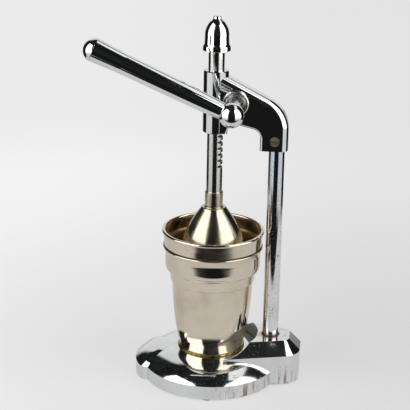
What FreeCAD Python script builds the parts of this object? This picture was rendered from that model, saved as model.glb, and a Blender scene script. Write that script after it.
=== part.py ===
"""Lever citrus press with a rack and pinion, in millimetres.

The cup and rod share one upright axis, which is the origin on the table top.
+X points from that axis to the column, -Y points to the user, +Z is up.
The press is drawn as it stands in use: presser half way down, lever raised to the left.
"""
import FreeCAD
import Part
import math
import os

Vector = FreeCAD.Vector

# Rack and pinion
MODULE = 1.75
PINION_TEETH = 15
PITCH_R = MODULE * PINION_TEETH / 2
RACK_PITCH = math.pi * MODULE
PRESSURE_ANGLE = math.radians(20)
ADDENDUM = MODULE
DEDENDUM = 1.25 * MODULE
BACKLASH = 0.30
ROD_R = 7.0
PINION_X = ROD_R - MODULE + PITCH_R
PINION_Z = 256.3
PINION_HALF_FACE = 4.5
RACK_LOW_Z = 197.0
RACK_GAPS = 16

# Running and seating clearances, radial
RUN_FIT = 0.05
SEAT_FIT = 0.02

# Base casting
WALL_FOOT_Z = 1.5
SEAT_Z = 25.6
SHOULDER_R = 35.0
SHOULDER_START = math.radians(16)
SHOULDER_END = math.radians(49)
CROWN_BLEND_R = 30.0
DISC_Y = -4.2
DISC_R = 61.4
TONGUE_END_X = -17.3
TONGUE_END_R = 51.2
TONGUE_HALF = 27.5
TONGUE_HALF_AT_X = -62.0
TONGUE_START_X = -10.0
TONGUE_FLARE = math.radians(14.5)
TONGUE_CORNER_R = 9.0
TONGUE_TAPER = 34.0
BASE_SHELL = 2.5
CROWN_SHELL = 3.0
BLOCK_WALL_Z = 28.5
BLOCK_TOP_Z = 39.0
BLOCK_FLARE = math.radians(15.5)
BLOCK_START_X = 12.0
BLOCK_WALL_HALF = 27.4
BLOCK_WALL_END_X = 81.6
BLOCK_WALL_CORNER_R = 18.0
BLOCK_TOP_HALF = 15.6
BLOCK_TOP_END_X = 71.3
BLOCK_TOP_CORNER_R = 6.5
BLOCK_HALF_AT_X = 60.0
BLOCK_TOP_ROUND = 1.0
RECESS_R = 42.6
FOOT_R = 5.4
FOOT_BOSS_Z = 4.0
FEET = [(3.0, -59.0), (3.0, 49.0), (-58.0, -4.2), (71.0, 0.0)]

# Column
COLUMN_X = 54.0
COLUMN_R = 7.0
COLUMN_FOOT_Z = 26.0
COLUMN_TOP_Z = 244.0
SPIGOT_R = 5.0
COLUMN_BOSS_R = 12.0
COLUMN_BOSS_Z = 15.0
SET_SCREW_X = 52.5
SET_SCREW_Z = 223.0
SET_SCREW_R = 4.2
SET_SCREW_TIP_Y = -3.2

# Head casting
SLEEVE_R = 11.0
SLEEVE_FOOT_Z = 227.4
SLEEVE_TOP_Z = 282.0
ARM_HALF = 10.0
ARM_SLOPE = math.radians(26.6)
ARM_LINE_Z = 277.0
ARM_BEND_R = 30.0
ARM_UNDER_Z = 238.1
ARM_UNDER_SLOPE = math.radians(13.0)
ARM_ROOT_R = 8.0
ARM_KNEE_R = 8.0
SOCKET_LEFT_X = 39.6
SOCKET_RIGHT_X = 63.7
SOCKET_FOOT_Z = 214.2
OUTER_ROUND = 6.5
INNER_ROUND = 2.5
PINION_ROOM_R = 14.95
PINION_ROOM_FRONT = 5.0
REAR_COVER_R = 14.9
REAR_PLUG_Y = 7.4
REAR_BOSS_R = 9.0
SPANNER_HOLE_OUT = 11.5
BUSH_BODY_R = 9.0
BUSH_FLANGE_R = 11.1
BUSH_FACE_Y = 17.5
SHAFT_R = 6.5
REAR_JOURNAL_R = 5.0
DRAG_Z = 235.0
DRAG_BOSS_R = 5.5
DRAG_BOSS_Y = 19.0
DRAG_BORE_R = 2.6

# Lever
BALL_Y = 53.0
BALL_R = 10.6
HUB_SPIGOT_R = 4.5
LEVER_ANGLE = 23.8
LEVER_SEAM = 124.5
LEVER_TIP = 133.8
LEVER_END_R = 10.1
LEVER_STUD_R = 4.0
LEVER_STUD_END = -2.9

# Cap on the rod
CAP_FOOT_Z = 299.1
CAP_TOP_Z = 328.6
CAP_BORE_R = 5.0
ROD_SHOULDER_Z = 303.0
ROD_TIP_Z = 317.0

# Presser
PRESSER_NECK_Z = 159.2
PRESSER_FOOT_Z = 118.0
PRESSER_SHEET = 1.0
COLLAR_R = 7.95
COLLAR_TOP_Z = 173.2
ROD_FOOT_Z = 161.5
STUD_R = 4.0
STUD_FOOT_Z = 150.6

# Strainer, funnel ring and cup
SHEET = 1.0
RIM_BEAD_Z = 136.7
RIM_BEAD_R = 44.0
RIM_BEAD = 1.6
STRAINER_STEP_Z = 124.3
TROUGH_Z = 86.0
STRAINER_CONE_R = 25.8
STRAINER_CONE_TOP_R = 6.0
STRAINER_CONE_TOP_Z = 119.5
HOLE_R = 1.3
HOLE_ROWS = [(10.5, 8), (15.5, 12), (20.5, 16)]
TROUGH_HOLE_ROW = (29.4, 20)
FUNNEL_LIP_Z = 123.2
FUNNEL_SHELF_Z = 102.2
FUNNEL_FOOT_Z = 91.0
CUP_TOP_Z = 99.6
CUP_FOOT_Z = 27.4

made = {}


def outline(start, steps):
    """Closed wire in the XZ plane: a step is a point, or a middle and an end for an arc."""
    def place(p):
        return Vector(p[0], 0, p[1])

    edges = []
    here = start
    for step in list(steps) + [start]:
        if isinstance(step[0], tuple):
            middle, end = step
            edges.append(Part.Arc(place(here), place(middle), place(end)).toShape())
        else:
            end = step
            edges.append(Part.LineSegment(place(here), place(end)).toShape())
        here = end
    return Part.Wire(edges)


def turned(start, *steps):
    """Solid of revolution about +Z from points given as (radius, height)."""
    face = Part.Face(outline(start, steps))
    return face.revolve(Vector(0, 0, 0), Vector(0, 0, 1), 360)


def dome(r, z, top):
    """Middle and end of an arc from (r, z) up to the axis, centred on the axis."""
    h = top - z
    sphere_r = (r * r + h * h) / (2 * h)
    centre = top - sphere_r
    a = math.atan2(r, z - centre) / 2
    return (sphere_r * math.sin(a), centre + sphere_r * math.cos(a)), (0, top)


def plate(start, steps, half):
    """Outline in the XZ plane made 2 * half thick about the plane Y = 0."""
    face = Part.Face(outline(start, steps))
    solid = face.extrude(Vector(0, 2 * half, 0))
    solid.translate(Vector(0, -half, 0))
    return solid


def rod_z(r, z0, z1, x=0.0, y=0.0):
    return Part.makeCylinder(r, z1 - z0, Vector(x, y, z0), Vector(0, 0, 1))


def rod_y(r, y0, y1, x, z):
    return Part.makeCylinder(r, y1 - y0, Vector(x, y0, z), Vector(0, 1, 0))


def on_pinion_axis(solid):
    """Turn a piece made along +Z so that it lies along -Y on the pinion axis."""
    solid.rotate(Vector(0, 0, 0), Vector(1, 0, 0), 90)
    solid.translate(Vector(PINION_X, 0, PINION_Z))
    return solid


def on_lever_axis(solid):
    """Turn a piece made along +Z so that it points from the ball along the lever."""
    solid.rotate(Vector(0, 0, 0), Vector(0, 1, 0), LEVER_ANGLE - 90)
    solid.translate(Vector(PINION_X, -BALL_Y, PINION_Z))
    return solid


def hexagon(across_flats, z0, z1, x, y):
    r = across_flats / math.sqrt(3)
    corners = [Vector(x + r * math.cos(math.radians(60 * k)), y + r * math.sin(math.radians(60 * k)), z0)
               for k in range(7)]
    return Part.Face(Part.makePolygon(corners)).extrude(Vector(0, 0, z1 - z0))


def tidy(shape):
    return shape.removeSplitter()


def keep(name, *solids):
    made[name] = solids[0] if len(solids) == 1 else Part.makeCompound(list(solids))


# Base casting
def shoulder(angle):
    """How far inside the wall, and how far above its sharp edge, the shoulder has this slope."""
    w = SHOULDER_R * (math.sin(SHOULDER_END) - math.sin(max(angle, SHOULDER_START)))
    h = SHOULDER_R * (math.cos(max(angle, SHOULDER_START)) - math.cos(SHOULDER_END))
    if angle < SHOULDER_START:
        w += CROWN_BLEND_R * (math.sin(SHOULDER_START) - math.sin(angle))
        h += CROWN_BLEND_R * (math.cos(angle) - math.cos(SHOULDER_START))
    return w, h


def disc(grow, drop, foot_z):
    """Domed disc: flat crown, faint blend, then a rounded shoulder down to a sharp edge."""
    radius = DISC_R + grow
    edge_z = SEAT_Z - drop - shoulder(0)[1]

    def at(angle):
        w, h = shoulder(angle)
        return radius - w, edge_z + h

    solid = turned(
        (0, foot_z), (radius, foot_z), (radius, edge_z),
        (at((SHOULDER_START + SHOULDER_END) / 2), at(SHOULDER_START)),
        (at(SHOULDER_START / 2), at(0)), (0, SEAT_Z - drop))
    solid.translate(Vector(0, DISC_Y, 0))
    return solid


def tongue_outline(inset, z):
    """Plan of the left tongue: a round end, two corners, and sides that flare towards the cup."""
    end_r = TONGUE_END_R - inset
    corner_r = TONGUE_CORNER_R * (1 - inset / TONGUE_TAPER)
    flare = math.tan(TONGUE_FLARE)

    def half_at(x):
        return TONGUE_HALF + (x - TONGUE_HALF_AT_X) * flare - inset / math.cos(TONGUE_FLARE)

    reach = end_r - corner_r
    rise = half_at(TONGUE_END_X) - corner_r / math.cos(TONGUE_FLARE)
    a = 1 + flare * flare
    b = 2 * rise * flare
    c = rise * rise - reach * reach
    u = (-b - math.sqrt(b * b - 4 * a * c)) / (2 * a)
    v = rise + u * flare
    corner = (TONGUE_END_X + u, v)
    side_turn = math.pi / 2 + TONGUE_FLARE
    end_turn = math.atan2(v, u)
    middle_turn = (side_turn + end_turn) / 2

    def round_corner(turn):
        return corner[0] + corner_r * math.cos(turn), corner[1] + corner_r * math.sin(turn)

    def near(p):
        return Vector(p[0], DISC_Y - p[1], z)

    def far(p):
        return Vector(p[0], DISC_Y + p[1], z)

    start = (TONGUE_START_X, half_at(TONGUE_START_X))
    side = round_corner(side_turn)
    middle = round_corner(middle_turn)
    end = round_corner(end_turn)
    tip = (TONGUE_END_X - end_r, 0)
    return Part.Wire([
        Part.LineSegment(near(start), near(side)).toShape(),
        Part.Arc(near(side), near(middle), near(end)).toShape(),
        Part.Arc(near(end), near(tip), far(end)).toShape(),
        Part.Arc(far(end), far(middle), far(side)).toShape(),
        Part.LineSegment(far(side), far(start)).toShape(),
        Part.LineSegment(far(start), near(start)).toShape(),
    ])


def tongue(grow, drop, foot_z):
    """Left tongue, with the disc's own shoulder all round its edge."""
    edge_z = SEAT_Z - drop - shoulder(0)[1]
    walls = Part.Face(tongue_outline(-grow, foot_z)).extrude(Vector(0, 0, edge_z - foot_z))
    sections = []
    for share in (0.0, 0.25, 0.5, 0.75, 1.0):
        w, h = shoulder(SHOULDER_END + share * (SHOULDER_START - SHOULDER_END))
        sections.append(tongue_outline(w - grow, edge_z + h))
    for share in (0.5, 0.0):
        w, h = shoulder(SHOULDER_START * share)
        sections.append(tongue_outline(w - grow, edge_z + h))
    return walls.fuse(Part.makeLoft(sections, True, False))


def block_outline(half, end_x, corner_r, z):
    """Plan of the column block: straight sides that flare towards the cup, and two round corners."""
    flare = math.tan(BLOCK_FLARE)
    start_half = half + (BLOCK_HALF_AT_X - BLOCK_START_X) * flare
    end_half = half + (BLOCK_HALF_AT_X - end_x) * flare
    turn = math.pi / 2 - BLOCK_FLARE
    reach = corner_r * math.tan(turn / 2)
    side = (end_x - reach * math.cos(BLOCK_FLARE), end_half + reach * math.sin(BLOCK_FLARE))
    end = (end_x, end_half - reach)
    centre = (end_x - corner_r, end[1])
    middle = (centre[0] + corner_r * math.cos(turn / 2), centre[1] + corner_r * math.sin(turn / 2))

    def near(p):
        return Vector(p[0], -p[1], z)

    def far(p):
        return Vector(p[0], p[1], z)

    start = (BLOCK_START_X, start_half)
    return Part.Wire([
        Part.LineSegment(near(start), near(side)).toShape(),
        Part.Arc(near(side), near(middle), near(end)).toShape(),
        Part.LineSegment(near(end), far(end)).toShape(),
        Part.Arc(far(end), far(middle), far(side)).toShape(),
        Part.LineSegment(far(side), far(start)).toShape(),
        Part.LineSegment(far(start), near(start)).toShape(),
    ])


def block(grow, drop, foot_z):
    """Column block: upright walls, a broad chamfer up to a flat top, and a round recess for the cup."""
    half = BLOCK_WALL_HALF + grow
    end_x = BLOCK_WALL_END_X + grow
    corner_r = BLOCK_WALL_CORNER_R + grow
    wall_z = BLOCK_WALL_Z - drop
    walls = Part.Face(block_outline(half, end_x, corner_r, foot_z)).extrude(Vector(0, 0, wall_z - foot_z))
    top_end_x = BLOCK_TOP_END_X + grow
    roof = Part.makeLoft([
        block_outline(half, end_x, corner_r, wall_z),
        block_outline(BLOCK_TOP_HALF + grow, top_end_x, BLOCK_TOP_CORNER_R, BLOCK_TOP_Z - drop),
    ], True, True)
    solid = tidy(walls.fuse(roof))
    if grow == 0:
        top_edges = [e for e in solid.Edges if e.BoundBox.ZMin > BLOCK_TOP_Z - 0.01]
        solid = solid.makeFillet(BLOCK_TOP_ROUND, top_edges)
    return solid.cut(rod_z(RECESS_R - grow, SEAT_Z - drop, BLOCK_TOP_Z + 5))


def base_form(grow, drop, foot_z):
    """Whole base, grown sideways and lowered, so that the same form also makes the hollow."""
    return disc(grow, drop, foot_z).fuse(tongue(grow, drop, foot_z)).fuse(block(grow, drop, foot_z))


def make_base():
    casting = base_form(0, 0, WALL_FOOT_Z)
    hollow = base_form(-BASE_SHELL, CROWN_SHELL, WALL_FOOT_Z - 1)
    boss = rod_z(COLUMN_BOSS_R, COLUMN_BOSS_Z, BLOCK_TOP_Z - 1, COLUMN_X)
    casting = casting.cut(hollow).fuse(boss)
    inner_form = base_form(-1, 1, WALL_FOOT_Z)
    for x, y in FEET:
        post = rod_z(FOOT_R, FOOT_BOSS_Z, 24, x, y)
        casting = casting.fuse(post.common(inner_form))
    casting = casting.cut(rod_z(COLUMN_R + SEAT_FIT, COLUMN_FOOT_Z, BLOCK_TOP_Z + 5, COLUMN_X))
    casting = casting.cut(rod_z(SPIGOT_R + SEAT_FIT, 0, COLUMN_FOOT_Z + 1, COLUMN_X))
    for x, y in FEET:
        casting = casting.cut(rod_z(FOOT_R + SEAT_FIT, 0, FOOT_BOSS_Z, x, y))
        casting = casting.cut(rod_z(1.75 + SEAT_FIT, 0, FOOT_BOSS_Z + 7, x, y))
    keep("base_casting", tidy(casting))


def make_feet():
    pads = []
    screws = []
    for x, y in FEET:
        pad = rod_z(FOOT_R, 0, FOOT_BOSS_Z, x, y)
        pad = pad.makeFillet(0.6, [e for e in pad.Edges if e.BoundBox.ZMax < 0.01])
        pads.append(pad.cut(rod_z(3.2, -1, 2.2, x, y)).cut(rod_z(1.8, 0, 5, x, y)))
        shank = rod_z(1.75, 2.2, FOOT_BOSS_Z + 6.5, x, y)
        head = rod_z(3.1, 0.8, 2.2, x, y)
        slot = Part.makeBox(7, 0.8, 1.4, Vector(x - 3.5, y - 0.4, 0))
        screws.append(head.fuse(shank).cut(slot))
    keep("rubber_feet", *pads)
    keep("foot_screws", *screws)


# Column
def make_column():
    column = rod_z(COLUMN_R, COLUMN_FOOT_Z, COLUMN_TOP_Z, COLUMN_X)
    column = column.makeChamfer(0.8, [e for e in column.Edges if e.BoundBox.ZMin > COLUMN_TOP_Z - 0.01])
    column = column.fuse(rod_z(SPIGOT_R, 5.0, COLUMN_FOOT_Z + 1, COLUMN_X))
    column = column.cut(rod_y(SET_SCREW_R + SEAT_FIT, -20, SET_SCREW_TIP_Y, SET_SCREW_X, SET_SCREW_Z))
    keep("column", tidy(column))
    washer = rod_z(10.0, COLUMN_BOSS_Z - 1.8, COLUMN_BOSS_Z, COLUMN_X).cut(rod_z(5.3, 0, 30, COLUMN_X))
    keep("column_washer", washer)
    nut = hexagon(16.0, COLUMN_BOSS_Z - 8.2, COLUMN_BOSS_Z - 1.8, COLUMN_X, 0)
    keep("column_nut", nut.cut(rod_z(SPIGOT_R + SEAT_FIT, 0, 30, COLUMN_X)))


# Head casting
def arm_profile():
    """Side view of the arm from inside the sleeve, over the bend, to the column socket and back."""
    slope = math.tan(ARM_SLOPE)
    corner_z = ARM_LINE_Z - (SOCKET_RIGHT_X - SLEEVE_R) * slope
    reach = ARM_BEND_R * math.tan((math.pi / 2 - ARM_SLOPE) / 2)
    bend_start = (SOCKET_RIGHT_X - reach * math.cos(ARM_SLOPE), corner_z + reach * math.sin(ARM_SLOPE))
    bend_end = (SOCKET_RIGHT_X, corner_z - reach)
    centre = (SOCKET_RIGHT_X - ARM_BEND_R, bend_end[1])
    half = (math.pi / 2 - ARM_SLOPE) / 2
    bend_middle = (centre[0] + ARM_BEND_R * math.cos(half), centre[1] + ARM_BEND_R * math.sin(half))

    under_r = ARM_KNEE_R
    under_slope = math.tan(ARM_UNDER_SLOPE)
    under_corner_z = ARM_UNDER_Z - (SOCKET_LEFT_X - SLEEVE_R) * under_slope
    under_reach = under_r * math.tan((math.pi / 2 - ARM_UNDER_SLOPE) / 2)
    under_end = (SOCKET_LEFT_X, under_corner_z - under_reach)
    under_start = (SOCKET_LEFT_X - under_reach * math.cos(ARM_UNDER_SLOPE),
                   under_corner_z + under_reach * math.sin(ARM_UNDER_SLOPE))
    under_centre = (SOCKET_LEFT_X - under_r, under_end[1])
    under_half = (math.pi / 2 - ARM_UNDER_SLOPE) / 2
    under_middle = (under_centre[0] + under_r * math.cos(under_half),
                    under_centre[1] + under_r * math.sin(under_half))

    root_reach = ARM_ROOT_R / math.tan((math.pi / 2 - ARM_UNDER_SLOPE) / 2)
    root_foot = (SLEEVE_R, ARM_UNDER_Z - root_reach)
    root_start = (SLEEVE_R + root_reach * math.cos(ARM_UNDER_SLOPE),
                  ARM_UNDER_Z - root_reach * math.sin(ARM_UNDER_SLOPE))
    root_span = math.hypot(ARM_ROOT_R, root_reach)
    root_middle = (SLEEVE_R + ARM_ROOT_R - ARM_ROOT_R * ARM_ROOT_R / root_span,
                   root_foot[1] + ARM_ROOT_R * root_reach / root_span)

    top_left = (0.0, ARM_LINE_Z)
    steps = [
        (SLEEVE_R, ARM_LINE_Z),
        bend_start,
        (bend_middle, bend_end),
        (SOCKET_RIGHT_X, SOCKET_FOOT_Z),
        (SOCKET_LEFT_X, SOCKET_FOOT_Z),
        under_end,
        (under_middle, under_start),
        root_start,
        (root_middle, root_foot),
        (0.0, root_foot[1]),
    ]
    return top_left, steps


def on_outer_side(edge):
    """Edges along the sloping top, the bend and the right side of the arm."""
    box = edge.BoundBox
    flat = abs(abs(box.YMin) - ARM_HALF) < 0.01 and box.YLength < 0.01
    top = box.ZMax > ARM_LINE_Z - 25 and box.XMin > SLEEVE_R - 0.01
    right = box.XMin > SOCKET_RIGHT_X - 20
    return flat and (top or (right and box.XMax > SOCKET_RIGHT_X - 0.01 and box.ZLength > 1))


def on_inner_side(edge):
    """Edges along the underside of the arm and the left side of the socket."""
    box = edge.BoundBox
    flat = abs(abs(box.YMin) - ARM_HALF) < 0.01 and box.YLength < 0.01
    between = box.XMin > SLEEVE_R - 0.01 and box.XMax < SOCKET_LEFT_X + 0.01
    return flat and between and box.ZMax < ARM_UNDER_Z + 0.01


def arm_form():
    start, steps = arm_profile()
    arm = plate(start, steps, ARM_HALF)
    arm = arm.makeFillet(OUTER_ROUND, [e for e in arm.Edges if on_outer_side(e)])
    return arm.makeFillet(INNER_ROUND, [e for e in arm.Edges if on_inner_side(e)])


def make_head():
    sleeve = rod_z(SLEEVE_R, SLEEVE_FOOT_Z, SLEEVE_TOP_Z)
    sleeve = sleeve.makeChamfer(0.7, [e for e in sleeve.Edges if e.BoundBox.ZLength < 0.01])
    casting = sleeve.fuse(arm_form())
    casting = casting.fuse(rod_y(DRAG_BOSS_R, 0, DRAG_BOSS_Y, 0, DRAG_Z))
    casting = casting.cut(rod_z(ROD_R + RUN_FIT, SLEEVE_FOOT_Z - 1, SLEEVE_TOP_Z + 1))
    room = rod_y(PINION_ROOM_R, -PINION_ROOM_FRONT, ARM_HALF + 1, PINION_X, PINION_Z)
    casting = casting.cut(room)
    casting = casting.cut(rod_y(BUSH_BODY_R + SEAT_FIT, -20, 0, PINION_X, PINION_Z))
    casting = casting.cut(rod_z(COLUMN_R + SEAT_FIT, SOCKET_FOOT_Z - 1, COLUMN_TOP_Z + 0.5, COLUMN_X))
    set_screw_hole = rod_y(SET_SCREW_R + SEAT_FIT, -ARM_HALF - 1, SET_SCREW_TIP_Y, SET_SCREW_X, SET_SCREW_Z)
    casting = casting.cut(set_screw_hole)
    casting = casting.cut(rod_y(DRAG_BORE_R + SEAT_FIT, 5, DRAG_BOSS_Y + 1, 0, DRAG_Z))
    keep("head_casting", tidy(casting))


def make_head_fittings():
    screw = rod_y(SET_SCREW_R, -ARM_HALF - 0.3, SET_SCREW_TIP_Y - 0.2, SET_SCREW_X, SET_SCREW_Z)
    slot = Part.makeBox(9, 1.2, 1.2, Vector(SET_SCREW_X - 4.5, -ARM_HALF - 0.5, SET_SCREW_Z - 0.6))
    keep("column_set_screw", screw.cut(slot))

    f = BUSH_FACE_Y
    bush = turned(
        (SHAFT_R + RUN_FIT, PINION_ROOM_FRONT), (BUSH_BODY_R, PINION_ROOM_FRONT), (BUSH_BODY_R, ARM_HALF),
        (BUSH_FLANGE_R, ARM_HALF), (BUSH_FLANGE_R, f - 3.6), (BUSH_FLANGE_R - 0.7, f - 2.9),
        (BUSH_FLANGE_R - 1.6, f - 2.9), (BUSH_FLANGE_R - 1.6, f - 1.7), (BUSH_FLANGE_R - 2.6, f - 1.7),
        (BUSH_FLANGE_R - 3.0, f), (SHAFT_R + RUN_FIT, f))
    keep("front_bush", on_pinion_axis(bush))

    inner_y = PINION_HALF_FACE + 0.3
    cover = rod_y(REAR_COVER_R, inner_y, REAR_PLUG_Y, PINION_X, PINION_Z)
    boss = rod_y(REAR_BOSS_R, REAR_PLUG_Y - 1, ARM_HALF, PINION_X, PINION_Z)
    boss = boss.makeChamfer(0.8, [e for e in boss.Edges if e.BoundBox.YMin > ARM_HALF - 0.01])
    cover = cover.common(arm_form()).fuse(boss)
    cover = cover.cut(rod_y(REAR_JOURNAL_R + RUN_FIT, inner_y - 1, ARM_HALF - 0.8, PINION_X, PINION_Z))
    for side in (-1, 1):
        hole_z = PINION_Z + side * SPANNER_HOLE_OUT
        cover = cover.cut(rod_y(1.2, REAR_PLUG_Y - 1.5, ARM_HALF + 1, PINION_X, hole_z))
    cover = tidy(cover.cut(rod_z(ROD_R + 1.2, 200, 300)))
    keep("rear_cover", cover)


def make_rod_drag():
    """Spring-loaded pad that rubs on the rod, so that the raised presser stays up."""
    pad = rod_y(DRAG_BORE_R, ROD_R + 0.02, 10.5, 0, DRAG_Z)
    pad = pad.cut(rod_z(ROD_R + 0.06, 200, 300))
    keep("drag_pad", pad)
    spring = rod_y(DRAG_BORE_R - 0.3, 10.5, 15.5, 0, DRAG_Z).cut(rod_y(1.6, 10, 16, 0, DRAG_Z))
    keep("drag_spring", spring)
    screw = rod_y(DRAG_BORE_R, 15.5, DRAG_BOSS_Y + 0.2, 0, DRAG_Z)
    keep("drag_screw", screw.cut(Part.makeBox(6, 1.2, 0.8, Vector(-3, DRAG_BOSS_Y - 0.8, DRAG_Z - 0.4))))


# Pinion and lever
def involute(base_r, t):
    return base_r * (math.cos(t) + t * math.sin(t)), base_r * (math.sin(t) - t * math.cos(t))


def pinion_gear():
    """Spur gear in the XZ plane, with its teeth placed to fall in the gaps of the rack."""
    base_r = PITCH_R * math.cos(PRESSURE_ANGLE)
    tip_r = PITCH_R + ADDENDUM - 0.1
    root_r = PITCH_R - DEDENDUM
    tip_t = math.sqrt((tip_r / base_r) ** 2 - 1)
    inv = math.tan(PRESSURE_ANGLE) - PRESSURE_ANGLE
    half_tooth = math.pi / (2 * PINION_TEETH) - BACKLASH / (2 * PITCH_R) + inv
    flank_points = 5
    points = []
    for k in range(PINION_TEETH):
        middle = math.pi + gear_phase() + 2 * math.pi * k / PINION_TEETH
        flank = [(root_r, half_tooth)]
        for i in range(flank_points):
            x, y = involute(base_r, tip_t * i / (flank_points - 1))
            flank.append((math.hypot(x, y), half_tooth - math.atan2(y, x)))
        for r, a in flank:
            points.append((r, middle - a))
        for r, a in reversed(flank):
            points.append((r, middle + a))
    corners = [Vector(r * math.cos(a), -PINION_HALF_FACE, r * math.sin(a)) for r, a in points]
    gear = Part.Face(Part.makePolygon(corners + corners[:1])).extrude(Vector(0, 2 * PINION_HALF_FACE, 0))
    gear.translate(Vector(PINION_X, 0, PINION_Z))
    return gear


def gear_phase():
    """Angle that brings the tooth facing the rack to the height of the nearest rack gap."""
    steps = round((PINION_Z - RACK_LOW_Z) / RACK_PITCH)
    gap_z = RACK_LOW_Z + steps * RACK_PITCH
    return (PINION_Z - gap_z) / PITCH_R


def make_pinion():
    gear = pinion_gear()
    shaft = turned(
        (0, PINION_HALF_FACE - 0.5), (SHAFT_R, PINION_HALF_FACE - 0.5), (SHAFT_R, BALL_Y - 9.0),
        (HUB_SPIGOT_R, BALL_Y - 9.0), (HUB_SPIGOT_R, BALL_Y + 5.5), (0, BALL_Y + 5.5))
    shaft = on_pinion_axis(shaft)
    rear = rod_y(REAR_JOURNAL_R, 0, ARM_HALF - 1.0, PINION_X, PINION_Z)
    shaft = gear.fuse(shaft).fuse(rear)
    stud_hole = on_lever_axis(Part.makeCylinder(LEVER_STUD_R + SEAT_FIT, 20, Vector(0, 0, -6)))
    keep("pinion_shaft", tidy(shaft.cut(stud_hole)))


def make_lever():
    centre = Vector(PINION_X, -BALL_Y, PINION_Z)
    ball = Part.makeSphere(BALL_R, centre)
    ball = ball.cut(rod_y(SHAFT_R + SEAT_FIT, -BALL_Y + 9.0, 0, PINION_X, PINION_Z))
    ball = ball.cut(rod_y(HUB_SPIGOT_R + SEAT_FIT, -BALL_Y - 5.6, 0, PINION_X, PINION_Z))
    stud_bore = Part.makeCylinder(LEVER_STUD_R + SEAT_FIT, 30, Vector(0, 0, LEVER_STUD_END))
    ball = ball.cut(on_lever_axis(stud_bore))
    ball = ball.cut(on_lever_axis(Part.makeCylinder(7.4, 30, Vector(0, 0, 8.2))))
    ball = ball.cut(rod_z(2.0 + SEAT_FIT, PINION_Z - 20, PINION_Z - HUB_SPIGOT_R, PINION_X, -BALL_Y))
    keep("lever_ball", ball)

    stud_end = LEVER_STUD_END + 0.4
    bar = turned(
        (0, stud_end), (LEVER_STUD_R - 0.6, stud_end), (LEVER_STUD_R, stud_end + 0.6),
        (LEVER_STUD_R, 8.3), (6.7, 8.3), (7.1, 9.1), ((7.7, 22.0), (8.1, 38.0)), (8.8, 98.0),
        ((9.3, 110.0), (LEVER_END_R, LEVER_SEAM)), (0, LEVER_SEAM))
    cap_bore = Part.makeCylinder(3.0 + SEAT_FIT, 12, Vector(0, 0, LEVER_SEAM - 10))
    keep("lever_bar", on_lever_axis(bar.cut(cap_bore)))

    end_cap = turned(
        (0, LEVER_SEAM - 9.0), (3.0, LEVER_SEAM - 9.0), (3.0, LEVER_SEAM + 0.05),
        (LEVER_END_R - 0.45, LEVER_SEAM + 0.05), (LEVER_END_R, LEVER_SEAM + 0.5),
        dome(LEVER_END_R, LEVER_SEAM + 0.5, LEVER_TIP))
    keep("lever_end_cap", on_lever_axis(end_cap))

    grub = rod_z(2.0, PINION_Z - BALL_R + 0.5, PINION_Z - HUB_SPIGOT_R - 0.7, PINION_X, -BALL_Y)
    slot = Part.makeBox(5, 0.8, 1.2, Vector(PINION_X - 2.5, -BALL_Y - 0.4, PINION_Z - BALL_R))
    keep("hub_grub_screw", grub.cut(slot))


# Rod, cap and presser
def make_rod():
    rod = turned(
        (0, STUD_FOOT_Z), (STUD_R - 0.5, STUD_FOOT_Z), (STUD_R, STUD_FOOT_Z + 0.5), (STUD_R, ROD_FOOT_Z),
        (ROD_R, ROD_FOOT_Z), (ROD_R, ROD_SHOULDER_Z), (CAP_BORE_R, ROD_SHOULDER_Z), (CAP_BORE_R, ROD_TIP_Z),
        (0, ROD_TIP_Z))
    root_x = ROD_R - MODULE - DEDENDUM
    half = RACK_PITCH / 4
    root_half = half - DEDENDUM * math.tan(PRESSURE_ANGLE)
    tip_half = half + (MODULE + 1) * math.tan(PRESSURE_ANGLE)
    cutters = []
    for k in range(RACK_GAPS):
        z = RACK_LOW_Z + k * RACK_PITCH
        cutters.append(plate(
            (root_x, z - root_half),
            [(ROD_R + 1, z - tip_half), (ROD_R + 1, z + tip_half), (root_x, z + root_half)], ROD_R + 1))
    keep("rack_rod", rod.cut(Part.makeCompound(cutters)))


def make_cap():
    cap = turned(
        (ROD_R + SEAT_FIT, CAP_FOOT_Z), (11.9, CAP_FOOT_Z), (12.1, CAP_FOOT_Z + 0.3),
        ((12.05, 301.2), (11.8, 303.3)), ((11.3, 304.0), (10.75, 304.9)), ((10.55, 308.5), (10.5, 312.0)),
        ((9.35, 318.4), (5.6, 324.3)), ((4.3, 325.3), (3.4, 326.2)), (3.4, 327.6),
        ((3.1, 328.3), (2.4, CAP_TOP_Z)), (0, CAP_TOP_Z),
        (0, ROD_TIP_Z + 1), (CAP_BORE_R + SEAT_FIT, ROD_TIP_Z + 1), (CAP_BORE_R + SEAT_FIT, ROD_SHOULDER_Z),
        (ROD_R + SEAT_FIT, ROD_SHOULDER_Z))
    keep("rod_cap", cap)


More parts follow.
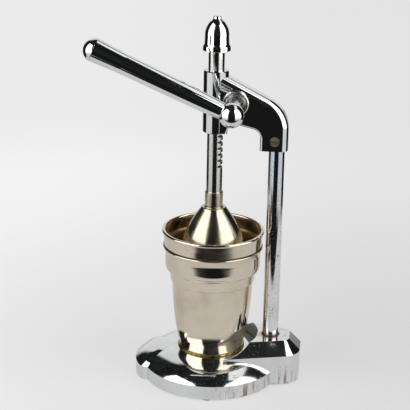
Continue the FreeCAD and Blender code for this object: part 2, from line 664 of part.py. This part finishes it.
def make_presser():
    t = PRESSER_SHEET
    foot = PRESSER_FOOT_Z
    neck = PRESSER_NECK_Z
    bell = turned(
        (STUD_R + SEAT_FIT, neck - t), (STUD_R + SEAT_FIT, neck), (10.0, neck),
        ((10.9, neck - 0.5), (11.5, neck - 1.6)), ((21.3, 142.0), (29.6, foot + 1.8)),
        ((30.6, foot + 0.9), (29.6, foot)), (28.6, foot + 0.4),
        ((20.3, 141.6), (10.6, neck - 2.0)), (9.6, neck - t))
    keep("presser_bell", bell)
    collar = turned(
        (STUD_R + SEAT_FIT, neck), (8.6, neck), (8.6, neck + 0.8), (COLLAR_R, neck + 1.2),
        (COLLAR_R, COLLAR_TOP_Z - 1.9), (COLLAR_R - 0.3, COLLAR_TOP_Z - 1.7),
        (COLLAR_R + 0.15, COLLAR_TOP_Z - 1.3), (COLLAR_R + 0.15, COLLAR_TOP_Z - 0.4),
        (COLLAR_R - 0.2, COLLAR_TOP_Z), (ROD_R + SEAT_FIT, COLLAR_TOP_Z),
        (ROD_R + SEAT_FIT, ROD_FOOT_Z), (STUD_R + SEAT_FIT, ROD_FOOT_Z))
    keep("presser_collar", collar)
    washer = rod_z(7.0, neck - t - 1.2, neck - t).cut(rod_z(STUD_R + 0.2, 100, 200))
    keep("presser_washer", washer)
    nut_top = neck - t - 1.2
    nut = hexagon(11.0, nut_top - 5.0, nut_top, 0, 0).cut(rod_z(STUD_R + SEAT_FIT, 100, 200))
    keep("presser_nut", nut)


# Strainer, funnel ring and cup
def strainer_cone_z(r):
    """Height of the outer face of the strainer's cone at radius r."""
    slope = (STRAINER_CONE_TOP_Z - TROUGH_Z) / (STRAINER_CONE_R - STRAINER_CONE_TOP_R)
    return TROUGH_Z + (STRAINER_CONE_R - r) * slope


def strainer_holes():
    """Rows of round holes through the raised cone and the trough round it."""
    cutters = []
    slope = (STRAINER_CONE_TOP_Z - TROUGH_Z) / (STRAINER_CONE_R - STRAINER_CONE_TOP_R)
    for row, (r, count) in enumerate(HOLE_ROWS):
        for k in range(count):
            a = 2 * math.pi * (k + 0.5 * (row % 2)) / count
            out = Vector(slope * math.cos(a), slope * math.sin(a), 1).normalize()
            middle = Vector(r * math.cos(a), r * math.sin(a), strainer_cone_z(r))
            cutters.append(Part.makeCylinder(HOLE_R, 6, middle - out * 3, out))
    r, count = TROUGH_HOLE_ROW
    for k in range(count):
        a = 2 * math.pi * k / count
        cutters.append(rod_z(HOLE_R, TROUGH_Z - 3, TROUGH_Z + 3, r * math.cos(a), r * math.sin(a)))
    return Part.makeCompound(cutters)


def make_strainer():
    t = SHEET
    r = RIM_BEAD_R
    b = RIM_BEAD
    z = RIM_BEAD_Z
    s = STRAINER_STEP_Z
    floor = TROUGH_Z
    cone_r = STRAINER_CONE_R
    top_r = STRAINER_CONE_TOP_R
    top_z = STRAINER_CONE_TOP_Z
    under_tip = dome(top_r - 1.0, top_z - 0.6, top_z + 1.9)
    tip_middle, tip = dome(top_r, top_z, top_z + 2.9)
    bowl = turned(
        (r - b, z), ((r, z + b), (r + b, z)), ((r + b * 0.7, z - b * 0.7), (r + 0.2, z - b)),
        ((43.9, 130.0), (43.7, s)), (41.0, s), (40.7, s - t), (40.2, 111.0), ((38.7, 105.2), (35.6, 102.6)),
        ((34.5, 101.2), (34.2, 99.4)), (34.0, floor + 2.4),
        ((33.1, floor), (30.9, floor - t)), (27.6, floor - t),
        ((26.4, floor - t + 0.3), (cone_r - 1.1, floor + 0.3)), (top_r - 1.0, top_z - 0.6),
        under_tip, tip, (tip_middle, (top_r, top_z)),
        (cone_r, floor + 0.6), ((26.6, floor + 0.1), (27.8, floor)), (30.8, floor),
        ((32.4, floor + 0.7), (33.0, floor + 2.6)), (33.2, 99.6), ((33.6, 101.8), (35.0, 103.5)),
        ((37.8, 105.8), (39.2, 111.2)), (39.8, s + t - 0.6), (40.3, s + t), (42.5, s + t),
        ((42.7, 130.2), (r - b, z - b)))
    keep("strainer", bowl.cut(strainer_holes()))


def make_funnel_ring():
    lip = FUNNEL_LIP_Z
    shelf = FUNNEL_SHELF_Z
    foot = FUNNEL_FOOT_Z
    ring = turned(
        (36.95, foot), (37.6, foot), (37.8, foot + 0.3), (38.4, shelf - 2.0),
        ((38.8, shelf - 1.2), (39.6, shelf - 1.0)), (40.9, shelf - 0.9),
        ((41.8, shelf), (42.2, shelf + 1.6)), ((42.5, shelf + 4.0), (42.55, shelf + 6.4)),
        (42.6, 114.5), ((43.05, 118.8), (44.2, lip - 1.6)),
        ((44.75, lip - 0.7), (44.2, lip)), ((43.5, lip - 0.4), (43.1, lip - 2.0)),
        ((42.1, 118.6), (41.6, 114.3)), (41.5, shelf + 6.4),
        ((41.4, shelf + 4.0), (41.1, shelf + 1.8)), ((40.7, shelf + 0.5), (39.8, shelf)),
        (35.4, shelf), (35.4, shelf - 1.6), (36.3, shelf - 1.9), (37.3, shelf - 2.4))
    keep("funnel_ring", ring)


def make_cup():
    t = SHEET
    foot = CUP_FOOT_Z
    top = CUP_TOP_Z
    cup = turned(
        (0, foot), (28.9, foot), ((29.5, 31.6), (30.7, 36.6)), ((32.7, 48.0), (35.1, 68.5)),
        (36.85, top - 0.5), ((36.4, top), (35.95, top - 0.5)), (34.1, 68.5),
        ((31.7, 48.2), (29.7, 36.9)), ((28.7, 32.2), (28.1, foot + t)), (0, foot + t))
    keep("cup", cup)
    seat = SEAT_Z
    ring = turned(
        (27.0, foot), (27.0, seat + 0.3), (27.3, seat), (29.7, seat),
        ((30.3, seat + 0.7), (29.9, seat + 1.5)), (29.5, foot))
    keep("cup_foot_ring", ring)


def export():
    os.makedirs("parts", exist_ok=True)
    for name, shape in made.items():
        if not shape.isValid():
            print("invalid", name)
        print(name, len(shape.Solids), round(shape.Volume / 1000, 3), "cm3")
        shape.exportStep("parts/" + name + ".step")


make_base()
make_feet()
make_column()
make_head()
make_head_fittings()
make_rod_drag()
make_pinion()
make_lever()
make_rod()
make_cap()
make_presser()
make_strainer()
make_funnel_ring()
make_cup()
export()
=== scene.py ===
import bpy
import math
from mathutils import Matrix, Vector

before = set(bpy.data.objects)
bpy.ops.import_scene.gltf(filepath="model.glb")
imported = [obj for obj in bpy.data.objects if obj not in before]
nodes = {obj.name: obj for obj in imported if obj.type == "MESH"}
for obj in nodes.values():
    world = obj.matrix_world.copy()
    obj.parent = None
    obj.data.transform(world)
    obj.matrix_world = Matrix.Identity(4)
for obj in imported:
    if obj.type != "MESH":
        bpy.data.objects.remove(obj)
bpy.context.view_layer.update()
scene = bpy.context.scene
scene.view_settings.view_transform = "Standard"

# Camera, from the fit to the photograph's edges
CAMERA_PLACE = (0.1061, -1.08375, 0.5324)
CAMERA_AZIMUTH = 6.0
CAMERA_PITCH = 18.9
CAMERA_ROLL = 1.0
CAMERA_LENS = 114.15


def turn(degrees, axis):
    return Matrix.Rotation(math.radians(degrees), 4, axis)


camera_data = bpy.data.cameras.new("camera")
camera_data.lens = CAMERA_LENS
camera_data.sensor_width = 36.0
camera_data.clip_end = 50.0
camera = bpy.data.objects.new("camera", camera_data)
scene.collection.objects.link(camera)
camera.matrix_world = (Matrix.Translation(CAMERA_PLACE) @ turn(CAMERA_AZIMUTH, "Z")
                       @ turn(90 - CAMERA_PITCH, "X") @ turn(CAMERA_ROLL, "Z"))
scene.camera = camera


# Node helpers
class Nodes:
    """Short calls for building one node tree."""

    def __init__(self, tree):
        self.tree = tree

    def add(self, kind, **settings):
        node = self.tree.nodes.new(kind)
        for key, value in settings.items():
            setattr(node, key, value)
        return node

    def put(self, socket, value):
        if hasattr(value, "is_output"):
            self.tree.links.new(value, socket)
        else:
            socket.default_value = value

    def math(self, operation, a, b=0.0):
        node = self.add("ShaderNodeMath", operation=operation)
        self.put(node.inputs[0], a)
        self.put(node.inputs[1], b)
        return node.outputs[0]

    def ramp(self, value, low, high, out_low=0.0, out_high=1.0):
        """Smooth step of a value from out_low at low to out_high at high."""
        node = self.add("ShaderNodeMapRange", interpolation_type="SMOOTHSTEP")
        for socket, v in zip(node.inputs, (value, low, high, out_low, out_high)):
            self.put(socket, v)
        return node.outputs[0]

    def mix(self, factor, a, b):
        node = self.add("ShaderNodeMix", data_type="RGBA")
        self.put(node.inputs[0], factor)
        for socket, v in ((node.inputs[6], a), (node.inputs[7], b)):
            self.put(socket, v if hasattr(v, "is_output") else (*v, 1.0))
        return node.outputs[2]

    def place(self):
        return self.add("ShaderNodeTexCoord").outputs["Object"]

    def axes(self, vector):
        node = self.add("ShaderNodeSeparateXYZ")
        self.put(node.inputs[0], vector)
        return node.outputs

    def stretched(self, vector, scale):
        node = self.add("ShaderNodeMapping")
        self.put(node.inputs["Vector"], vector)
        node.inputs["Scale"].default_value = scale
        return node.outputs[0]

    def noise(self, vector, scale, detail=3.0, rough=0.55):
        node = self.add("ShaderNodeTexNoise")
        self.put(node.inputs["Vector"], vector)
        node.inputs["Scale"].default_value = scale
        node.inputs["Detail"].default_value = detail
        node.inputs["Roughness"].default_value = rough
        return node.outputs[0]

    def patches(self, vector, scale, detail, low, high):
        """Noise cut to a soft mask between two of its levels."""
        return self.ramp(self.noise(vector, scale, detail), low, high)

    def near(self, vector, point, reach, soft):
        """One close to a point, fading to zero between reach and reach + soft."""
        node = self.add("ShaderNodeVectorMath", operation="DISTANCE")
        self.put(node.inputs[0], vector)
        node.inputs[1].default_value = point
        return self.ramp(node.outputs["Value"], reach, reach + soft, 1.0, 0.0)

    def bump(self, height, strength, distance):
        node = self.add("ShaderNodeBump")
        node.inputs["Strength"].default_value = strength
        node.inputs["Distance"].default_value = distance
        self.put(node.inputs["Height"], height)
        return node.outputs[0]

    def out_from_axis(self, x, y):
        """Distance from the upright axis through the origin."""
        return self.math("SQRT", self.math("ADD", self.math("MULTIPLY", x, x), self.math("MULTIPLY", y, y)))

    def both(self, *masks):
        """Product of several masks."""
        result = masks[0]
        for mask in masks[1:]:
            result = self.math("MULTIPLY", result, mask)
        return result

    def any_of(self, *masks):
        """Greatest of several masks."""
        result = masks[0]
        for mask in masks[1:]:
            result = self.math("MAXIMUM", result, mask)
        return result


def new_material(name, metal=1.0):
    material = bpy.data.materials.new(name)
    material.use_nodes = True
    shader = material.node_tree.nodes["Principled BSDF"]
    shader.inputs["Metallic"].default_value = metal
    return material, Nodes(material.node_tree), shader


def dress(material, *names):
    """Gives one material to the named nodes."""
    for name in names:
        slots = nodes[name].data.materials
        slots.clear()
        slots.append(material)


def scratches(n, place):
    """Fine crossing scratches as a height, the sum of two drawn-out noises."""
    a = n.noise(n.stretched(place, (900.0, 900.0, 60.0)), 1.0, 2.0)
    b = n.noise(n.stretched(place, (70.0, 800.0, 800.0)), 1.0, 2.0)
    return n.math("ADD", a, b)


def pits(n, place, scale, low, high):
    """Small dark specks that come in patches."""
    speck = n.ramp(n.noise(place, scale, 2.0, 0.6), low, high)
    patch = n.patches(place, 45.0, 2.0, 0.42, 0.62)
    return n.both(speck, patch)


# Colours in linear light
CHROME = (0.80, 0.81, 0.82)
CHROME_WORN = (0.62, 0.62, 0.60)
CHROME_WARM = (0.74, 0.75, 0.71)
NICKEL = (0.76, 0.68, 0.56)
NICKEL_WORN = (0.56, 0.46, 0.34)
NICKEL_OLIVE = (0.66, 0.60, 0.46)
RUST = (0.20, 0.085, 0.022)
PIT = (0.05, 0.042, 0.035)
BRASS = (0.50, 0.38, 0.16)
BRASS_GRIME = (0.19, 0.13, 0.05)
SCREW_BRASS = (0.55, 0.50, 0.30)
SCREW_GRIME = (0.36, 0.31, 0.16)
STEEL = (0.42, 0.42, 0.42)
STEEL_STAIN = (0.20, 0.15, 0.11)
RUBBER = (0.012, 0.012, 0.012)
RUBBER_DUST = (0.05, 0.045, 0.04)
OLIVE_STAIN = (0.42, 0.38, 0.10)
# Painted bluish reflection, on the upper column
COLUMN_BLUE_REFLECTION = (0.60, 0.72, 0.86)
# Painted brown reflection of the cup, on the column
COLUMN_CUP_REFLECTION = (0.30, 0.19, 0.09)
TARNISH = (0.46, 0.31, 0.13)
TARNISH_DARK = (0.30, 0.19, 0.07)
# Dark tarnish with painted shade, deep inside the strainer
TARNISH_AND_SHADE_DEEP = (0.045, 0.032, 0.018)
# Grease with painted shade, for the rack's tooth gaps
GREASE_AND_GAP_SHADE = (0.03, 0.026, 0.022)

# Points on the base that carry marks, with the reach of the mark and the width of its soft edge, in metres
RUSTY_PLACES = (((0.034, -0.057, 0.004), 0.012, 0.012),
                ((0.067, -0.028, 0.004), 0.014, 0.012),
                ((0.030, 0.052, 0.004), 0.018, 0.020))
COLUMN_RING = ((0.054, 0.0, 0.039), 0.0078, 0.0016)
COLUMN_STAIN = ((0.054, 0.0, 0.039), 0.008, 0.010)
OLIVE_SPOT = ((0.0278, -0.0527, 0.020), 0.0014, 0.0024)
TOP_MARK = ((0.0568, -0.0184, 0.039), 0.0020, 0.0045)

# Where a mark's soft edge starts and ends, in metres
SEAM_Z = (0.0015, 0.0040)
LOW_WALL_Z = (0.004, 0.022)
BLOCK_TOP_Z = (0.037, 0.0385)
RECESS_R = (0.0428, 0.0432)
RECESS_FLOOR_Z = (0.0258, 0.0264)
COLUMN_FOOT_Z = (0.0395, 0.0435)
COLUMN_LOW_Z = (0.09, 0.17)
COLUMN_BLUE_REFLECTION_Z = (0.16, 0.21)
COLUMN_CUP_SIDE_X = (0.0472, 0.0520)
STRAINER_INSIDE_R = (0.0418, 0.0428)
STRAINER_RIM_Z = (0.1352, 0.1370)
STRAINER_DEEP_Z = (0.1100, 0.1225)
TOOTH_SIDE_X = (0.0010, 0.0020)
TOOTH_TIP_R = (0.00675, 0.00693)


def chrome_bright(name, tint=CHROME, wear=0.5, smooth=0.035, dull=0.10):
    """Polished chrome with hairline scratches, thin haze and a few pits."""
    material, n, shader = new_material(name)
    place = n.place()
    haze = n.patches(place, 38.0, 4.0, 0.35, 0.75)
    spots = pits(n, place, 900.0, 0.68, 0.74)
    colour = n.mix(n.math("MULTIPLY", haze, wear), tint, CHROME_WORN)
    colour = n.mix(n.math("MULTIPLY", spots, 0.8), colour, PIT)
    n.put(shader.inputs["Base Color"], colour)
    rough = n.math("ADD", n.ramp(haze, 0.0, 1.0, smooth, dull), n.math("MULTIPLY", spots, 0.4))
    n.put(shader.inputs["Roughness"], rough)
    height = n.math("SUBTRACT", n.math("MULTIPLY", scratches(n, place), 0.4), spots)
    n.put(shader.inputs["Normal"], n.bump(height, 0.05, 0.0002))
    return material


def base_chrome():
    """Chrome casting: pitted shoulders, rust running down the walls, stain round the column."""
    material, n, shader = new_material("chrome_base_worn")
    place = n.place()
    x, y, z = n.axes(place)
    haze = n.patches(place, 30.0, 4.0, 0.35, 0.75)
    spots = pits(n, place, 750.0, 0.63, 0.70)
    colour = n.mix(n.math("MULTIPLY", haze, 0.5), CHROME, CHROME_WORN)
    colour = n.mix(n.math("MULTIPLY", spots, 0.85), colour, PIT)

    streak = n.patches(n.stretched(place, (230.0, 230.0, 22.0)), 1.0, 3.0, 0.50, 0.66)
    low_wall = n.ramp(z, *LOW_WALL_Z, 1.0, 0.0)
    seam = n.ramp(z, *SEAM_Z, 1.0, 0.0)
    rusty = n.any_of(*[n.near(place, *spot) for spot in RUSTY_PLACES])
    drips = n.both(streak, low_wall, rusty)
    edge_rust = n.both(seam, n.patches(place, 160.0, 3.0, 0.45, 0.62), rusty)
    ring = n.both(n.near(place, *COLUMN_RING), n.ramp(z, *BLOCK_TOP_Z))
    stain = n.both(n.near(place, *COLUMN_STAIN), n.patches(place, 120.0, 3.0, 0.40, 0.68))
    olive = n.both(n.near(place, *OLIVE_SPOT), n.patches(place, 600.0, 2.0, 0.38, 0.55))
    top_mark = n.both(n.near(place, *TOP_MARK), n.patches(place, 350.0, 3.0, 0.42, 0.60))
    rust = n.any_of(n.math("MULTIPLY", drips, 0.75), n.math("MULTIPLY", edge_rust, 0.8), ring,
                    n.math("MULTIPLY", stain, 0.5), n.math("MULTIPLY", top_mark, 0.5))
    colour = n.mix(rust, colour, RUST)
    colour = n.mix(n.math("MULTIPLY", olive, 0.8), colour, OLIVE_STAIN)
    n.put(shader.inputs["Base Color"], colour)
    recess = n.both(n.ramp(n.out_from_axis(x, y), *RECESS_R, 1.0, 0.0), n.ramp(z, *RECESS_FLOOR_Z))
    marks = n.any_of(rust, spots, recess)
    rough = n.math("ADD", n.ramp(haze, 0.0, 1.0, 0.05, 0.12), n.math("MULTIPLY", marks, 0.45))
    n.put(shader.inputs["Roughness"], rough)
    height = n.math("SUBTRACT", n.math("MULTIPLY", scratches(n, place), 0.4), spots)
    n.put(shader.inputs["Normal"], n.bump(height, 0.07, 0.0003))
    return material


def column_chrome():
    """Chrome bar, pitted, with a painted brown reflection of the cup on the side next to it and a painted
    bluish reflection near the top.
    """
    material, n, shader = new_material("chrome_column_worn")
    place = n.place()
    x, _, z = n.axes(place)
    haze = n.patches(place, 42.0, 4.0, 0.35, 0.75)
    spots = pits(n, place, 620.0, 0.60, 0.68)
    low = n.ramp(z, *COLUMN_LOW_Z, 1.0, 0.25)
    side = n.ramp(x, *COLUMN_CUP_SIDE_X, 1.0, 0.0)
    patchy = n.patches(n.stretched(place, (260.0, 260.0, 30.0)), 1.0, 4.0, 0.36, 0.60)
    # Painted reflection of the cup: brown in streaks on the side facing it, fading out above the cup
    brown = n.both(side, low, patchy)
    foot = n.ramp(z, *COLUMN_FOOT_Z, 1.0, 0.0)
    specks = n.both(n.patches(n.stretched(place, (420.0, 420.0, 200.0)), 1.0, 2.0, 0.66, 0.72), low)
    colour = n.mix(n.math("MULTIPLY", haze, 0.5), CHROME, CHROME_WORN)
    # Painted bluish reflection, growing towards the top of the column
    colour = n.mix(n.ramp(z, *COLUMN_BLUE_REFLECTION_Z, 0.0, 0.55), colour, COLUMN_BLUE_REFLECTION)
    colour = n.mix(n.math("MULTIPLY", brown, 0.7), colour, COLUMN_CUP_REFLECTION)
    colour = n.mix(n.any_of(n.math("MULTIPLY", spots, 0.8), specks), colour, PIT)
    colour = n.mix(n.math("MULTIPLY", foot, 0.8), colour, RUST)
    n.put(shader.inputs["Base Color"], colour)
    marks = n.any_of(brown, spots, foot, specks)
    rough = n.math("ADD", n.ramp(haze, 0.0, 1.0, 0.05, 0.12), n.math("MULTIPLY", marks, 0.35))
    n.put(shader.inputs["Roughness"], rough)
    height = n.math("SUBTRACT", n.math("MULTIPLY", scratches(n, place), 0.3), n.any_of(spots, specks))
    n.put(shader.inputs["Normal"], n.bump(height, 0.08, 0.0003))
    return material


def nickel_outside(name, worn, rough_low, rough_high, tint=NICKEL, inside=False):
    """Worn nickel plate on brass: warm, a little satin, with turning marks round it."""
    material, n, shader = new_material(name)
    place = n.place()
    x, y, z = n.axes(place)
    rings = n.noise(n.stretched(place, (25.0, 25.0, 1600.0)), 1.0, 2.0)
    haze = n.patches(place, 26.0, 4.0, 0.36, 0.70)
    spots = pits(n, place, 800.0, 0.64, 0.70)
    colour = n.mix(n.math("MULTIPLY", haze, worn), tint, NICKEL_WORN)
    rough = n.ramp(haze, 0.0, 1.0, rough_low, rough_high)
    if inside:
        out = n.out_from_axis(x, y)
        inner = n.both(n.ramp(out, *STRAINER_INSIDE_R, 1.0, 0.0), n.ramp(z, *STRAINER_RIM_Z, 1.0, 0.0))
        # Deeper inside the strainer the brown goes near black: tarnish with painted shade
        deep_tarnish_and_shade = n.both(inner, n.ramp(z, *STRAINER_DEEP_Z, 1.0, 0.0))
        tarnish = n.patches(n.stretched(place, (40.0, 40.0, 25.0)), 1.0, 3.0, 0.30, 0.70)
        brown = n.mix(tarnish, TARNISH, TARNISH_DARK)
        colour = n.mix(inner, colour, brown)
        colour = n.mix(n.math("MULTIPLY", deep_tarnish_and_shade, 0.9), colour, TARNISH_AND_SHADE_DEEP)
        rough = n.any_of(rough, n.math("MULTIPLY", inner, 0.42))
        n.put(shader.inputs["Metallic"], n.ramp(inner, 0.0, 1.0, 1.0, 0.55))
    colour = n.mix(n.math("MULTIPLY", spots, 0.5), colour, PIT)
    n.put(shader.inputs["Base Color"], colour)
    n.put(shader.inputs["Roughness"], rough)
    height = n.math("SUBTRACT", n.math("MULTIPLY", rings, 0.5), spots)
    n.put(shader.inputs["Normal"], n.bump(height, 0.05, 0.0002))
    return material


def rack_chrome():
    """Polished rod whose tooth gaps are painted dark: old grease and painted shade."""
    material = chrome_bright("chrome_rod", CHROME_WARM, wear=0.5, smooth=0.12, dull=0.22)
    n = Nodes(material.node_tree)
    shader = material.node_tree.nodes["Principled BSDF"]
    place = n.place()
    x, y, _ = n.axes(place)
    # Tooth gaps painted near black: grease with painted shade
    gap_grease_and_shade = n.both(n.ramp(x, *TOOTH_SIDE_X), n.ramp(n.out_from_axis(x, y), *TOOTH_TIP_R, 1.0, 0.0))
    plain = shader.inputs["Base Color"].links[0].from_socket
    plain_rough = shader.inputs["Roughness"].links[0].from_socket
    n.put(shader.inputs["Base Color"], n.mix(n.math("MULTIPLY", gap_grease_and_shade, 0.9), plain, GREASE_AND_GAP_SHADE))
    n.put(shader.inputs["Roughness"], n.math("ADD", plain_rough, n.math("MULTIPLY", gap_grease_and_shade, 0.45)))
    return material


def brass(name, tint, grime_tint, smooth, dull, relief):
    """Unplated brass with patches of grime."""
    material, n, shader = new_material(name)
    place = n.place()
    grime = n.patches(place, 220.0, 4.0, 0.40, 0.66)
    n.put(shader.inputs["Base Color"], n.mix(grime, tint, grime_tint))
    n.put(shader.inputs["Roughness"], n.ramp(grime, 0.0, 1.0, smooth, dull))
    n.put(shader.inputs["Normal"], n.bump(n.noise(place, 1500.0, 2.0), relief, 0.0002))
    return material


def plain_steel():
    """Grey steel with brown stains."""
    material, n, shader = new_material("steel_plain")
    place = n.place()
    stain = n.patches(place, 180.0, 4.0, 0.40, 0.70)
    n.put(shader.inputs["Base Color"], n.mix(stain, STEEL, STEEL_STAIN))
    n.put(shader.inputs["Roughness"], n.ramp(stain, 0.0, 1.0, 0.28, 0.55))
    n.put(shader.inputs["Normal"], n.bump(n.noise(place, 1800.0, 2.0), 0.12, 0.0002))
    return material


def dark_rubber():
    """Black rubber with a little dust."""
    material, n, shader = new_material("rubber_dark", metal=0.0)
    place = n.place()
    dust = n.patches(place, 260.0, 4.0, 0.45, 0.75)
    n.put(shader.inputs["Base Color"], n.mix(dust, RUBBER, RUBBER_DUST))
    n.put(shader.inputs["Roughness"], n.ramp(dust, 0.0, 1.0, 0.6, 0.85))
    n.put(shader.inputs["Normal"], n.bump(n.noise(place, 2500.0, 2.0), 0.2, 0.0002))
    return material


head_chrome = chrome_bright("chrome_head", wear=0.35)
satin_chrome = chrome_bright("chrome_satin", CHROME_WARM, wear=0.4, smooth=0.20, dull=0.32)
lever_chrome = chrome_bright("chrome_lever", wear=0.3)
bell_nickel = nickel_outside("nickel_bell", worn=0.45, rough_low=0.15, rough_high=0.27, tint=NICKEL_OLIVE)
cup_nickel = nickel_outside("nickel_cup", worn=0.55, rough_low=0.10, rough_high=0.24)
funnel_nickel = nickel_outside("nickel_funnel", worn=0.35, rough_low=0.07, rough_high=0.18)
strainer_nickel = nickel_outside("nickel_strainer", worn=0.35, rough_low=0.07, rough_high=0.18, inside=True)
dull_brass = brass("brass_dull", BRASS, BRASS_GRIME, smooth=0.22, dull=0.42, relief=0.04)
screw_brass = brass("brass_screw", SCREW_BRASS, SCREW_GRIME, smooth=0.38, dull=0.55, relief=0.10)
dress(base_chrome(), "base_casting")
dress(head_chrome, "head_casting", "rear_cover")
dress(satin_chrome, "front_bush", "pinion_shaft")
dress(column_chrome(), "column")
dress(lever_chrome, "lever_bar", "lever_ball", "lever_end_cap", "rod_cap")
dress(rack_chrome(), "rack_rod")
dress(bell_nickel, "presser_bell", "presser_collar")
dress(cup_nickel, "cup")
dress(funnel_nickel, "funnel_ring")
dress(strainer_nickel, "strainer")
dress(dull_brass, "cup_foot_ring", "drag_pad", "drag_screw")
dress(screw_brass, "column_set_screw")
dress(plain_steel(), "foot_screws", "column_washer", "column_nut", "hub_grub_screw", "drag_spring",
      "presser_washer", "presser_nut")
dress(dark_rubber(), "rubber_feet")


# Studio: a pale table with an edge in front, two tall soft boxes, a faint one overhead, and a dark room.
# A pair says where a soft edge starts and ends: lengths in metres, angles in degrees round from the camera.
PALE = 0.80
ROOM_DARK = 0.012
GLOOM_WARM = (0.010, 0.010, 0.007)
GLOOM_COOL = (0.018, 0.021, 0.022)
FLOOR_REACH = 6.0
TABLE_EDGE_R = (0.46, 0.54)
TABLE_FRONT = (0.22, 0.25)
SIDE_FROM = (29.0, 33.0)
SIDE_TO = (88.0, 94.0)
BACK_FROM = (146.0, 154.0)

# The pale wall ends where the upward part of a direction of length one lies between these
WALL_TOP = (0.73, 0.82)

# The floor's own glow: the camera sees more of it farther off, and shiny parts see a share of it
NEAR_LEFT_GLOW = 0.99
NEAR_RIGHT_GLOW = 0.81
LEFT_GLOW = 0.85
RIGHT_GLOW = 0.79
NEAR_TO_FAR_R = (0.25, 1.0)
LEFT_TO_RIGHT = (-0.25, 0.25)
SHADE_TO_GLOW_R = (0.10, 0.70)
GLOW_SHARE = (0.62, 0.97)
GLOSSY_GLOW_SHARE = 0.55


def view_angle(n, x, y):
    """Degrees round from the camera's direction, without sign, and the reach towards it and to its right."""
    a = math.radians(CAMERA_AZIMUTH)
    ahead = n.math("SUBTRACT", n.math("MULTIPLY", x, math.sin(a)), n.math("MULTIPLY", y, math.cos(a)))
    across = n.math("ADD", n.math("MULTIPLY", x, math.cos(a)), n.math("MULTIPLY", y, math.sin(a)))
    turned = n.math("DEGREES", n.math("ABSOLUTE", n.math("ARCTAN2", across, ahead)))
    return turned, ahead, across


def floor():
    """Flat floor that keeps the shadow; shiny parts see a pale table in a dark room."""
    mesh = bpy.data.meshes.new("floor")
    r = FLOOR_REACH
    mesh.from_pydata([(-r, -r, 0), (r, -r, 0), (r, r, 0), (-r, r, 0)], [], [(0, 1, 2, 3)])
    piece = bpy.data.objects.new("floor", mesh)
    scene.collection.objects.link(piece)
    material = bpy.data.materials.new("floor_pale")
    material.use_nodes = True
    n = Nodes(material.node_tree)
    material.node_tree.nodes.remove(material.node_tree.nodes["Principled BSDF"])
    x, y, _ = n.axes(n.place())
    turned, ahead, across = view_angle(n, x, y)
    out = n.out_from_axis(x, y)
    table = n.both(n.ramp(out, *TABLE_EDGE_R, 1.0, 0.0), n.ramp(ahead, *TABLE_FRONT, 1.0, 0.0))
    sides = n.both(n.ramp(turned, *SIDE_FROM), n.ramp(turned, *SIDE_TO, 1.0, 0.0))
    beyond = n.both(n.ramp(out, *TABLE_EDGE_R), n.any_of(sides, n.ramp(turned, *BACK_FROM)))
    path = n.add("ShaderNodeLightPath")
    dark = n.both(n.math("SUBTRACT", 1.0, n.any_of(table, beyond)), path.outputs["Is Glossy Ray"])
    colour = n.mix(dark, (PALE,) * 3, (ROOM_DARK,) * 3)
    diffuse = n.add("ShaderNodeBsdfDiffuse")
    n.put(diffuse.inputs["Color"], colour)
    far_off = n.ramp(out, *NEAR_TO_FAR_R)
    left = n.mix(far_off, (NEAR_LEFT_GLOW,) * 3, (LEFT_GLOW,) * 3)
    right = n.mix(far_off, (NEAR_RIGHT_GLOW,) * 3, (RIGHT_GLOW,) * 3)
    backdrop = n.mix(n.ramp(across, *LEFT_TO_RIGHT), left, right)
    glow = n.add("ShaderNodeEmission")
    n.put(glow.inputs["Color"], n.mix(path.outputs["Is Camera Ray"], colour, backdrop))
    far = n.ramp(out, *SHADE_TO_GLOW_R, *GLOW_SHARE)
    glossy_share = n.math("MULTIPLY", path.outputs["Is Glossy Ray"], GLOSSY_GLOW_SHARE)
    share = n.any_of(n.both(path.outputs["Is Camera Ray"], far), glossy_share)
    mixed = n.add("ShaderNodeMixShader")
    n.put(mixed.inputs[0], share)
    n.put(mixed.inputs[1], diffuse.outputs[0])
    n.put(mixed.inputs[2], glow.outputs[0])
    n.put(material.node_tree.nodes["Material Output"].inputs["Surface"], mixed.outputs[0])
    mesh.materials.append(material)


def room():
    """Dark world with a pale wall behind the press; the camera sees a plain backdrop."""
    world = bpy.data.worlds.new("room")
    world.use_nodes = True
    scene.world = world
    n = Nodes(world.node_tree)
    direction = n.add("ShaderNodeTexCoord").outputs["Generated"]
    x, y, z = n.axes(direction)
    turned, _, _ = view_angle(n, x, y)
    wall = n.both(n.ramp(turned, *BACK_FROM), n.ramp(z, *WALL_TOP, 1.0, 0.0))
    gloom = n.mix(n.patches(direction, 2.2, 2.0, 0.42, 0.60), GLOOM_WARM, GLOOM_COOL)
    colour = n.mix(wall, gloom, (PALE,) * 3)
    path = n.add("ShaderNodeLightPath")
    colour = n.mix(path.outputs["Is Camera Ray"], colour, (LEFT_GLOW,) * 3)
    background = world.node_tree.nodes["Background"]
    n.put(background.inputs["Color"], colour)


def soft_box(name, azimuth, elevation, aim_z, distance, width, height, watts):
    """Rectangular lamp facing a point on the press's axis; azimuth counts from the camera, to the right."""
    lamp = bpy.data.lights.new(name, "AREA")
    lamp.shape = "RECTANGLE"
    lamp.size = width
    lamp.size_y = height
    lamp.energy = watts
    piece = bpy.data.objects.new(name, lamp)
    scene.collection.objects.link(piece)
    a = math.radians(azimuth + CAMERA_AZIMUTH)
    e = math.radians(elevation)
    away = Vector((math.sin(a) * math.cos(e), -math.cos(a) * math.cos(e), math.sin(e)))
    piece.location = away * distance + Vector((0, 0, aim_z))
    piece.rotation_mode = "QUATERNION"
    piece.rotation_quaternion = away.to_track_quat("Z", "Y")


floor()
room()
for box_name, side in (("box_left", -62), ("box_right", 62)):
    soft_box(box_name, side, elevation=0, aim_z=1.12, distance=1.30, width=1.50, height=2.20, watts=21.0)
soft_box("box_top", 103, elevation=61, aim_z=0.27, distance=1.50, width=1.10, height=0.48, watts=1.7)
